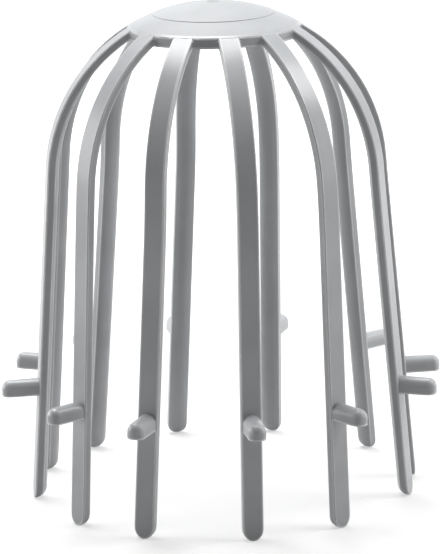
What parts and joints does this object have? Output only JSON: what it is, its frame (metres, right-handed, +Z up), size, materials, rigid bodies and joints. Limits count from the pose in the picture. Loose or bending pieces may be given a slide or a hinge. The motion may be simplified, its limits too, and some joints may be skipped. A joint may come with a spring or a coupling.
{
  "type": "downpipe leaf filter",
  "caption": "Grey plastic cage with a domed cap and arched legs; pegs on the legs rest on a downpipe's rim while the cage keeps leaves out of the pipe",
  "frame": {"origin": "centre of the circle that the leg tips stand on, at the height of the tips", "axes": "+Z runs up the axis of the dome; +X and +Y each lie midway between two legs"},
  "size_m": [0.1118, 0.1117, 0.127],
  "materials": {
    "grey_plastic": "satin moulded grey plastic"
  },
  "bodies": {
    "root": {"filter_cage": "grey_plastic"}
  },
  "joints": []
}
